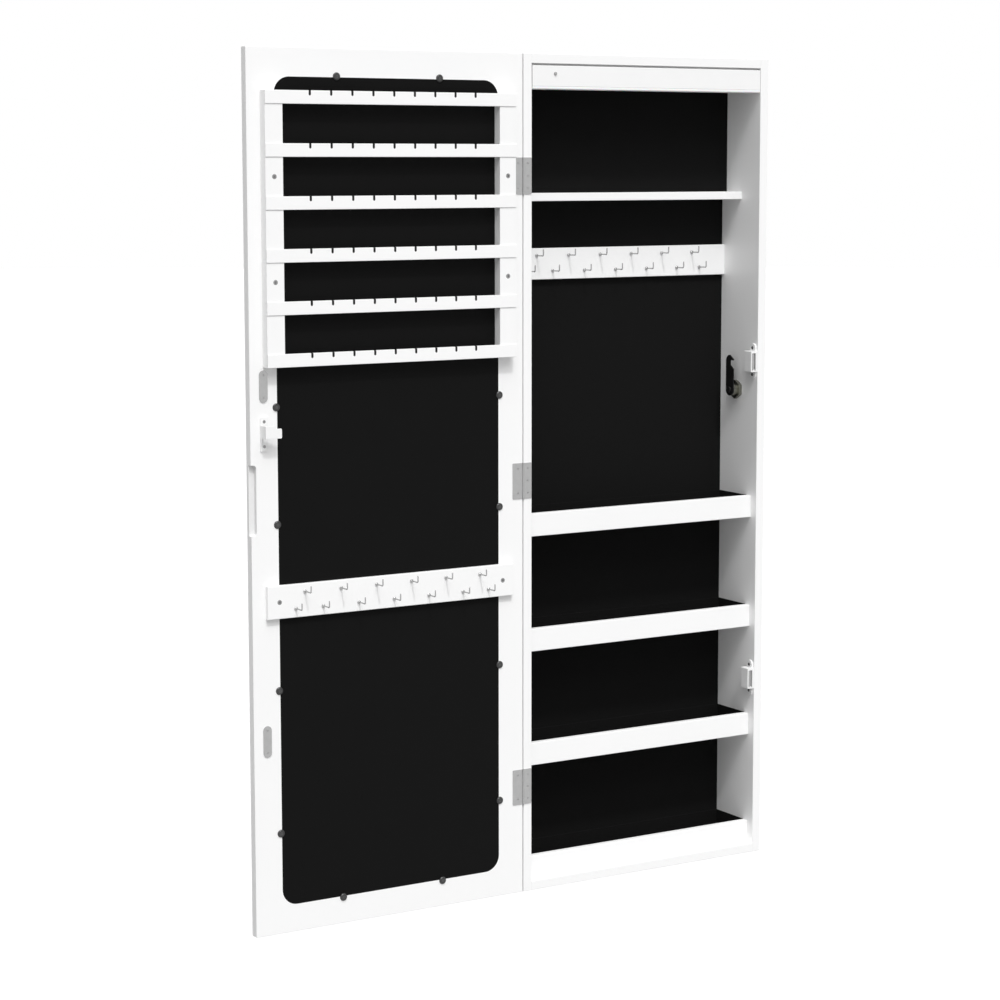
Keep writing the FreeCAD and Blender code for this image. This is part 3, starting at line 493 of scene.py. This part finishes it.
SCREWS = screw_tree()
SCREW_GRAIN = {"Scale": 900.0, "Cloud": 700.0}
screw_steel = finish(
    "plated_screw_steel", PLATED, SCREW_GRAIN,
    colours=(0.26, 0.38), roughness=(0.3, 0.42), depth=0.01 * MM, Metallic=1.0)
OUT_OF_BACK = (0.0, 1.0, 0.0)
screw_set("hanger_screws", OUT_OF_BACK, head_height=1.4 * MM, shank_radius=1.5 * MM)

# ---- felt ----
# Short black felt glued to the back and the rail, and the felt trays that stand behind the lips.
# Its fibres lie in all directions and take nearly all the light.


def felt_group():
    """Matted fibres: fine crossing threads over softer lumps."""
    group, start, end = shader_group("matted_fibres", ["Scale"], ["Shade", "Height"])
    lumps = add(group, "ShaderNodeTexNoise", {
        "Vector": start.outputs["Vector"], "Scale": start.outputs["Scale"], "Detail": 6.0,
        "Roughness": 0.7})
    finer = maths(group, "MULTIPLY", start.outputs["Scale"], 3.0)
    threads = add(group, "ShaderNodeTexVoronoi", {
        "Vector": start.outputs["Vector"], "Scale": finer}, feature="DISTANCE_TO_EDGE")
    both = maths(group, "MULTIPLY", lumps.outputs["Fac"], threads.outputs["Distance"])
    group.links.new(lumps.outputs["Fac"], end.inputs["Shade"])
    group.links.new(both, end.inputs["Height"])
    return group


black_felt = finish(
    "black_felt", felt_group(), {"Scale": 520.0},
    colours=(0.0032, 0.0080), roughness=(0.9, 1.0), depth=0.25 * MM,
    Specular_IOR_Level=0.05, Sheen_Weight=0.02, Sheen_Roughness=0.6)
coat(black_felt, "back_felt", "rail_felt", "tray_liners")

# ---- shelf and trays ----
# The upper shelf and three tray boards are housed between the sides; each tray has a lip of the
# same lacquered board across its front, and the lowest stands on the bottom panel.

for board in ("upper_shelf", "tray_boards", "tray_lips"):
    eased(board, white_paint, "white_board")

# ---- cabinet hook board ----
# A thin lacquered batten across the back with thirteen screw-in hooks of nickel-plated wire, each
# with a collar against the board, a square bend and an upturned end.

HOOK = {
    "Wire_radius": 0.8 * MM, "Reach": 16.5 * MM, "Rise": 7.5 * MM, "Bend_radius": 2.2 * MM,
    "Thread": 4.0 * MM, "Collar_radius": 2.2 * MM,
}
COLLAR_DEPTH = 0.65  # a share of the collar's radius
COLLAR_STANDS_OUT = 0.6  # a share of the collar's depth
WIRE_SIDES = 14
BEND_STEPS = 7


def hook_tree():
    """Hooks at the points: a wire led out of the board and turned up, its end rounded."""
    tree, start, end = geometry_tree(
        "screw_in_hooks", Wire_radius="Float", Reach="Float", Rise="Float", Bend_radius="Float",
        Thread="Float", Collar_radius="Float", Finish="Material")
    wire, reach, rise = (start.outputs[k] for k in ("Wire radius", "Reach", "Rise"))
    out = maths(tree, "MULTIPLY", reach, -1.0)
    places = (
        along(tree, y=start.outputs["Thread"]), along(tree, y=out), along(tree, y=out, z=rise))
    line = add(tree, "GeometryNodeMeshLine", {"Count": len(places)})
    number = add(tree, "GeometryNodeInputIndex")
    corner = add(tree, "GeometryNodeIndexSwitch", data_type="VECTOR")
    corner.index_switch_items.new()
    tree.links.new(number.outputs["Index"], corner.inputs["Index"])
    for n, place in enumerate(places):
        tree.links.new(place, corner.inputs[n + 1])
    bent = add(tree, "GeometryNodeSetPosition", {
        "Geometry": line.outputs["Mesh"], "Position": corner.outputs["Output"]})
    path = add(tree, "GeometryNodeMeshToCurve", {"Mesh": bent.outputs["Geometry"]})
    turned = add(tree, "GeometryNodeFilletCurve", {
        "Curve": path.outputs["Curve"], "Count": BEND_STEPS,
        "Radius": start.outputs["Bend radius"]}, mode="POLY")
    section = add(tree, "GeometryNodeCurvePrimitiveCircle", {
        "Resolution": WIRE_SIDES, "Radius": wire})
    stem = add(tree, "GeometryNodeCurveToMesh", {
        "Curve": turned.outputs["Curve"], "Profile Curve": section.outputs["Curve"],
        "Fill Caps": True})
    ball = add(tree, "GeometryNodeMeshUVSphere", {"Segments": 16, "Rings": 10, "Radius": 1.0})
    end_ball = moved(tree, ball.outputs["Mesh"], along(tree, y=out, z=rise),
                     along(tree, wire, wire, wire))
    collar_r = start.outputs["Collar radius"]
    depth = maths(tree, "MULTIPLY", collar_r, COLLAR_DEPTH)
    middle = maths(tree, "MULTIPLY", depth, -COLLAR_STANDS_OUT)
    collar = moved(tree, ball.outputs["Mesh"], along(tree, y=middle),
                   along(tree, collar_r, depth, collar_r))
    copies = add(tree, "GeometryNodeInstanceOnPoints", {
        "Points": start.outputs["Geometry"],
        "Instance": joined(tree, stem.outputs["Mesh"], end_ball, collar)})
    return close_tree(tree, start, end, copies.outputs["Instances"])


def hook_set(node, board):
    """Detailed hooks in the places of a node's plain ones, against the face of their board."""
    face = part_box(board)[0].y
    seats = [
        Vector(((low.x + high.x) / 2, face, low.z + HOOK["Collar_radius"]))
        for low, high in separate_solids(node)
    ]
    piece = grown(node + "_bent", HOOKS, seats, Finish=hook_metal, **HOOK)
    return dress(piece, hook_metal, "hook_metal", node)


HOOKS = hook_tree()
hook_metal = finish(
    "nickel_plated_wire", PLATED, {"Scale": 700.0, "Cloud": 300.0},
    colours=(0.34, 0.44), roughness=(0.22, 0.32), depth=0.005 * MM, Metallic=1.0)
eased("cabinet_hook_board", white_paint, "white_board")
hook_set("cabinet_hooks", "cabinet_hook_board")

# ---- light under the top ----
# A spacer strip, then a long moulded bar with a milky strip along its lower edge, held by two
# raised screws.  Six lamps on a circuit board sit inside; the battery box is behind, with a ribbed
# cover.


def moulding_group():
    """The fine spark-eroded grain of a moulding tool."""
    group, start, end = shader_group("moulded_grain", ["Scale"], ["Shade", "Height"])
    cells = add(group, "ShaderNodeTexVoronoi", {
        "Vector": start.outputs["Vector"], "Scale": start.outputs["Scale"]}, feature="SMOOTH_F1")
    cloud = add(group, "ShaderNodeTexNoise", {"Vector": start.outputs["Vector"], "Scale": 25.0})
    group.links.new(cloud.outputs["Fac"], end.inputs["Shade"])
    group.links.new(cells.outputs["Distance"], end.inputs["Height"])
    return group


MOULDED = moulding_group()
MOULD_RELIEF = 0.01 * MM
white_plastic = finish(
    "moulded_white_plastic", MOULDED, {"Scale": 1500.0},
    colours=(0.87, 0.90), roughness=(0.3, 0.4), depth=MOULD_RELIEF)
milky_plastic = finish(
    "milky_diffuser", MOULDED, {"Scale": 900.0},
    colours=(0.90, 0.93), roughness=(0.4, 0.5), depth=MOULD_RELIEF,
    Subsurface_Weight=0.25, Subsurface_Scale=1.5 * MM)
circuit_board = finish(
    "white_circuit_board", MOULDED, {"Scale": 800.0},
    colours=(0.78, 0.84), roughness=(0.4, 0.5), depth=MOULD_RELIEF)
lamp_resin = finish(
    "yellow_lamp_resin", MOULDED, {"Scale": 600.0},
    colours=((0.72, 0.52, 0.10), (0.80, 0.62, 0.16)), roughness=(0.2, 0.3), depth=MOULD_RELIEF)
DOWNWARDS = (0.0, 0.0, -1.0)
eased("light_spacer", white_paint, "white_board")
coat(white_plastic, "light_bar", "battery_box", "battery_cover")
coat(milky_plastic, "light_diffuser")
coat(circuit_board, "led_board")
coat(lamp_resin, "leds")
screw_set("light_screws", DOWNWARDS, head_height=1.5 * MM, shank_radius=1.4 * MM, raised=True)

# ---- door switch ----
# A grey plunger stands out of the light bar's front face and is pushed in by the closing door; its
# black body is behind the face.

dark_plastic = finish(
    "moulded_black_plastic", MOULDED, {"Scale": 1200.0},
    colours=(0.035, 0.06), roughness=(0.35, 0.5), depth=MOULD_RELIEF)
grey_plastic = finish(
    "grey_plunger_plastic", MOULDED, {"Scale": 1200.0},
    colours=(0.34, 0.42), roughness=(0.35, 0.45), depth=MOULD_RELIEF)
coat(dark_plastic, "switch_body")
coat(grey_plastic, "switch_plunger")

# ---- hinges ----
# Three butt hinges of plated sheet, their knuckles rolled round a pin on the front of the seam.
# The cabinet's leaf has three small countersunk screws and the door's has two.

OUT_OF_FRONT = (0.0, -1.0, 0.0)
SMALL_HEAD = 0.9 * MM
SMALL_SHANK = 1.0 * MM
coat(plated_steel, "cabinet_hinge_leaves", "door_hinge_leaves")
coat(screw_steel, "hinge_pins")
for screws in ("cabinet_hinge_screws", "door_hinge_screws"):
    screw_set(screws, OUT_OF_FRONT, SMALL_HEAD, SMALL_SHANK, metal=plated_steel)

# ---- magnetic catches ----
# Two white housings on the right side, each with a magnet between two steel poles, and on the door
# the round-ended strike plates that they pull on.

OUT_OF_RIGHT_SIDE = (-1.0, 0.0, 0.0)
magnet_grey = finish(
    "painted_magnet", MOULDED, {"Scale": 700.0},
    colours=(0.40, 0.48), roughness=(0.5, 0.65), depth=0.02 * MM)
dark_steel = finish(
    "dark_screw_steel", PLATED, SCREW_GRAIN,
    colours=(0.07, 0.13), roughness=(0.35, 0.45), depth=0.01 * MM, Metallic=1.0)
coat(white_plastic, "catch_housings")
coat(magnet_grey, "catch_magnets")
coat(plated_steel, "catch_pole_plates", "strike_plates")
screw_set("catch_screws", OUT_OF_RIGHT_SIDE, head_height=1.4 * MM, shank_radius=1.1 * MM,
          raised=True, metal=dark_steel)
screw_set("strike_screws", OUT_OF_FRONT, SMALL_HEAD, SMALL_SHANK, metal=plated_steel)

# ---- cam lock ----
# A nickel-plated barrel goes through the right side and is held by a hexagon nut; its plug turns a
# black hooked cam, screwed to a square on the plug's end.  The cam catches the bracket on the door.

lock_metal = finish(
    "nickel_plated_casting", PLATED, {"Scale": 300.0, "Cloud": 500.0},
    colours=((0.20, 0.20, 0.17), (0.32, 0.32, 0.28)), roughness=(0.25, 0.4), depth=0.01 * MM,
    Metallic=1.0)
cam_black = finish(
    "black_coated_steel", MOULDED, {"Scale": 900.0},
    colours=(0.006, 0.012), roughness=(0.35, 0.5), depth=MOULD_RELIEF, Specular_IOR_Level=0.25)
coat(lock_metal, "lock_barrel", "lock_nut", "lock_plug")
coat(cam_black, "lock_cam", "cam_screw")

# The bracket on the door is folded from sheet steel and powder-coated white.  Two small screws hold
# it, and the cam's hook catches its tab when the door is shut.

POWDER_ARRIS = 0.25 * MM
powder_coat = finish(
    "white_powder_coat", LACQUER, {"Cloud": 30.0, "Ripple": 1400.0},
    colours=(0.86, 0.90), roughness=(0.4, 0.5), depth=0.02 * MM)
eased("lock_keeper", powder_coat, "white_metal", arris=POWDER_ARRIS, shortest=2 * MM)
screw_set("keeper_screws", OUT_OF_FRONT, SMALL_HEAD, SMALL_SHANK)

# ---- door ----
# A lacquered frame of 12 mm board with a round-cornered window and a finger recess in its free
# edge.  The mirror lies against the frame's lip, with a black-faced hardboard behind it.

black_board = finish(
    "black_faced_hardboard", MOULDED, {"Scale": 700.0},
    colours=(0.0045, 0.0060), roughness=(0.6, 0.75), depth=MOULD_RELIEF, Specular_IOR_Level=0.05)
mirror = finish(
    "silvered_glass", LACQUER, {"Cloud": 4.0, "Ripple": 30.0},
    colours=((0.80, 0.83, 0.825), (0.81, 0.84, 0.835)), roughness=(0.01, 0.015), depth=0.0,
    Metallic=1.0)
PULL_HEIGHT = 84.6 * MM
PULL_WIDTH = 7 * MM
PULL_DEPTH = 6 * MM
SLACK = 0.3 * MM


def repaint(piece, material, low, high):
    """The faces whose middles lie between the two corners take a second finish."""
    if material.name not in piece.data.materials:
        piece.data.materials.append(material)
    second = piece.data.materials.find(material.name)
    for face in piece.data.polygons:
        if all(a < c < b for a, b, c in zip(low, high, face.center)):
            face.material_index = second


# Painted shade: the faces inside the finger recess get a greyer, duller paint, which stands in for
# the shade that falls in the recess.
recess_shade_paint = finish(
    "recess_painted_shade", LACQUER, {"Cloud": 60.0, "Ripple": 700.0},
    colours=(0.75, 0.81), roughness=(0.6, 0.7), depth=0.03 * MM)
door = eased("door_frame", white_paint, "white_board")
door_low, door_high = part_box("door_frame")
pull_middle = (door_low.z + door_high.z) / 2
pull_low = (door_low.x + SLACK, door_low.y + SLACK, pull_middle - PULL_HEIGHT / 2 - SLACK)
pull_high = (door_low.x + PULL_WIDTH + SLACK, door_low.y + PULL_DEPTH + SLACK,
             pull_middle + PULL_HEIGHT / 2 + SLACK)
repaint(door, recess_shade_paint, pull_low, pull_high)
coat(black_board, "mirror_backing")
coat(mirror, "mirror_glass")

# ---- mirror clips ----
# Twelve round clips of moulded dark plastic that keep the mirror and its backing in the frame.
# They lap over the backing's edge, and each is held by a small screw in its middle.

CLIP = {"Radius": 4.75 * MM, "Height": 1.6 * MM, "Seat_radius": 1.8 * MM, "Seat_depth": 0.9 * MM}
CLIP_SIDES = 32
DRILL_SIDES = 24
FOOT_HEIGHT = 0.55  # a share of the clip's height
SHOULDER = 0.96  # shares of its radius
CROWN = 0.78
DRILL_REACH = 2.0  # the drill's point is this many seat depths down


def clip_tree():
    """Round clips at the points: a low dome with a conical seat for the screw."""
    tree, start, end = geometry_tree(
        "round_clips", Radius="Float", Height="Float", Seat_radius="Float", Seat_depth="Float",
        Finish="Material")
    radius, height = start.outputs["Radius"], start.outputs["Height"]
    seat_r, seat_d = start.outputs["Seat radius"], start.outputs["Seat depth"]
    shoulder_r = maths(tree, "MULTIPLY", radius, SHOULDER)
    foot_h = maths(tree, "MULTIPLY", height, FOOT_HEIGHT)
    foot = add(tree, "GeometryNodeMeshCone", {
        "Vertices": CLIP_SIDES, "Radius Top": shoulder_r, "Radius Bottom": radius,
        "Depth": foot_h})
    crown = add(tree, "GeometryNodeMeshCone", {
        "Vertices": CLIP_SIDES, "Radius Top": maths(tree, "MULTIPLY", radius, CROWN),
        "Radius Bottom": shoulder_r, "Depth": maths(tree, "MULTIPLY", height, 1 - FOOT_HEIGHT)})
    crown = moved(tree, crown.outputs["Mesh"], along(tree, z=foot_h))
    body = add(tree, "GeometryNodeMeshBoolean", operation="UNION", solver="EXACT")
    tree.links.new(foot.outputs["Mesh"], body.inputs["Mesh 2"])
    tree.links.new(crown, body.inputs["Mesh 2"])
    sunk = maths(tree, "MULTIPLY", seat_d, DRILL_REACH)
    drill = add(tree, "GeometryNodeMeshCone", {
        "Vertices": DRILL_SIDES, "Radius Top": maths(tree, "MULTIPLY", seat_r, DRILL_REACH),
        "Radius Bottom": 0.0, "Depth": maths(tree, "MULTIPLY", sunk, DRILL_REACH)})
    tip = maths(tree, "SUBTRACT", height, sunk)
    drill = moved(tree, drill.outputs["Mesh"], along(tree, z=tip))
    seated = add(tree, "GeometryNodeMeshBoolean", {
        "Mesh 1": body.outputs["Mesh"], "Mesh 2": drill}, operation="DIFFERENCE", solver="EXACT")
    lean = add(tree, "FunctionNodeAlignRotationToVector", {"Vector": OUT_OF_FRONT}, axis="Z")
    copies = add(tree, "GeometryNodeInstanceOnPoints", {
        "Points": start.outputs["Geometry"], "Instance": seated.outputs["Mesh"],
        "Rotation": lean.outputs["Rotation"]})
    return close_tree(tree, start, end, copies.outputs["Instances"])


clip_plastic = finish(
    "moulded_clip_plastic", MOULDED, {"Scale": 1000.0},
    colours=(0.018, 0.03), roughness=(0.3, 0.45), depth=MOULD_RELIEF)
clip_seats = [
    Vector(((low.x + high.x) / 2, high.y, (low.z + high.z) / 2))
    for low, high in separate_solids("mirror_clips")
]
clips = grown("mirror_clips_moulded", clip_tree(), clip_seats, Finish=clip_plastic, **CLIP)
dress(clips, clip_plastic, "clip_plastic", "mirror_clips")
screw_set("clip_screws", OUT_OF_FRONT, SMALL_HEAD, shank_radius=0.9 * MM, metal=dark_steel)

# ---- earring rack ----
# Two uprights are notched for six slats that lie across them, a little proud.  Each slat has nine
# narrow notches in its top edge for earrings; four screws hold the rack to the door.

RACK_ARRIS = 0.4 * MM
WALL_SKIN = 1.0 * MM
BATTEN_SCREW = {"head_height": 2.0 * MM, "shank_radius": 1.5 * MM}
# Painted shade: the walls inside the slats' notches are painted near black, standing in for the
# shade and the dark backing seen down the notches.
notch_shade_paint = finish(
    "notch_painted_shade", LACQUER, {"Cloud": 200.0, "Ripple": 900.0},
    colours=(0.05, 0.08), roughness=(0.8, 0.9), depth=0.05 * MM)
for board in ("rack_stile_left", "rack_stile_right"):
    eased(board, white_paint, "white_board", RACK_ARRIS)
slats = eased("rack_slats", white_paint, "white_board", RACK_ARRIS)
inside = Vector((WALL_SKIN, SLACK, WALL_SKIN))
for low, high in separate_solids("rack_slats"):
    repaint(slats, notch_shade_paint, low + inside, high - inside)
screw_set("rack_screws", OUT_OF_FRONT, **BATTEN_SCREW)

# ---- door hook board ----
# The same batten and hooks as in the cabinet, across the lower half of the door, with a screw at
# each end.

eased("door_hook_board", white_paint, "white_board")
hook_set("door_hooks", "door_hook_board")
screw_set("hook_board_screws", OUT_OF_FRONT, **BATTEN_SCREW)

# ---- room ----
# A plain pale floor well below the cabinet and a soft white surround, brightest in front.  A small
# and a broad lamp stand high on the front left, and a broad fill on the back right.  The camera
# and mirrors see the surround as white.

FLOOR_BELOW = 0.8
FLOOR_RADIUS = 40.0
FLOOR_SIDES = 96
SURROUND_FRONT = 0.78  # how strongly the surround lights the cabinet
SURROUND_BACK = 0.06
FROM_FRONT = Vector((0.24, 1.0, -1.55))
FROM_BACK = Vector((-0.55, -1.0, -0.35))
LAMPS = {  # strength, spread in degrees, direction of travel
    "small_lamp": (1.2, 4, FROM_FRONT),
    "broad_lamp": (1.75, 45, FROM_FRONT),
    "back_fill": (0.7, 60, FROM_BACK),
}
FLOOR_SEEN = 0.88  # how pale the floor looks
FLOOR_BOUNCE = 0.30  # how much light it throws back on the cabinet


def seen_directly(tree):
    """One for rays from the camera, a mirror or glass, and nothing for diffuse light."""
    path = add(tree, "ShaderNodeLightPath")
    seen = path.outputs["Is Camera Ray"]
    for kind in ("Is Glossy Ray", "Is Transmission Ray"):
        seen = maths(tree, "MAXIMUM", seen, path.outputs[kind])
    return seen


world = bpy.data.worlds.new("white_surround")
bpy.context.scene.world = world
world.use_nodes = True
sky = world.node_tree
glow = sky.nodes["Background"]
glow.inputs["Color"].default_value = (1.0, 1.0, 1.0, 1.0)
heading = add(sky, "ShaderNodeSeparateXYZ", {
    "Vector": add(sky, "ShaderNodeTexCoord").outputs["Generated"]})
softbox = add(sky, "ShaderNodeMapRange", {
    "Value": heading.outputs["Y"], "From Min": -1.0, "From Max": 1.0,
    "To Min": SURROUND_FRONT, "To Max": SURROUND_BACK})
level = add(sky, "ShaderNodeMapRange", {
    "Value": seen_directly(sky), "To Min": softbox.outputs["Result"], "To Max": 1.0})
sky.links.new(level.outputs["Result"], glow.inputs["Strength"])

floor_shape = bmesh.new()
bmesh.ops.create_circle(
    floor_shape, cap_ends=True, segments=FLOOR_SIDES, radius=FLOOR_RADIUS)
bmesh.ops.translate(floor_shape, verts=floor_shape.verts,
                    vec=(0.0, 0.0, model_box[0].z - FLOOR_BELOW))
floor = finished_mesh("pale_floor", floor_shape)
floor_paint = bpy.data.materials.new("pale_floor_paint")
floor_paint.use_nodes = True
floor_tree = floor_paint.node_tree
floor_skin = floor_tree.nodes["Principled BSDF"]
floor_skin.inputs["Roughness"].default_value = 1.0
floor_skin.inputs["Specular IOR Level"].default_value = 0.0
floor_tone = add(floor_tree, "ShaderNodeMix", {
    "Factor": seen_directly(floor_tree)}, data_type="RGBA")
floor_tone.inputs[COLOUR_A].default_value = (FLOOR_BOUNCE,) * 3 + (1.0,)
floor_tone.inputs[COLOUR_B].default_value = (FLOOR_SEEN,) * 3 + (1.0,)
floor_tree.links.new(floor_tone.outputs[MIXED_COLOUR], floor_skin.inputs["Base Color"])
floor.data.materials.append(floor_paint)

for label, (strength, spread, travel) in LAMPS.items():
    lamp = bpy.data.lights.new(label, "SUN")
    lamp.energy = strength
    lamp.angle = math.radians(spread)
    stand = bpy.data.objects.new(label, lamp)
    stand.rotation_mode = "QUATERNION"
    stand.rotation_quaternion = travel.to_track_quat("-Z", "Y")
    bpy.context.scene.collection.objects.link(stand)

# ---- camera ----
# A long lens on the left, level with the upper shelf and tipped a little down.  The photograph's
# uprights are parallel, so it was taken with a shifted lens; a small part of that shift is kept, as
# all of it would push the cabinet out of the frame when the camera is taken round to another side.

EYE = Vector((-1.8417, -2.7613, -0.0627))
HEADING = 31.190  # degrees, as are the next two
DIP = 6.868
LEAN = 0.060
LENS_MM = 90.92
RISE = -0.03  # the lens's shift, as a share of the frame

view = bpy.data.cameras.new("photo_camera")
view.lens = LENS_MM
view.sensor_width = 36.0
view.shift_y = RISE
camera = bpy.data.objects.new("photo_camera", view)
camera.location = EYE
camera.rotation_euler = [math.radians(v) for v in (90 - DIP, LEAN, -HEADING)]
bpy.context.scene.collection.objects.link(camera)
bpy.context.scene.camera = camera
bpy.context.scene.view_settings.view_transform = "Standard"
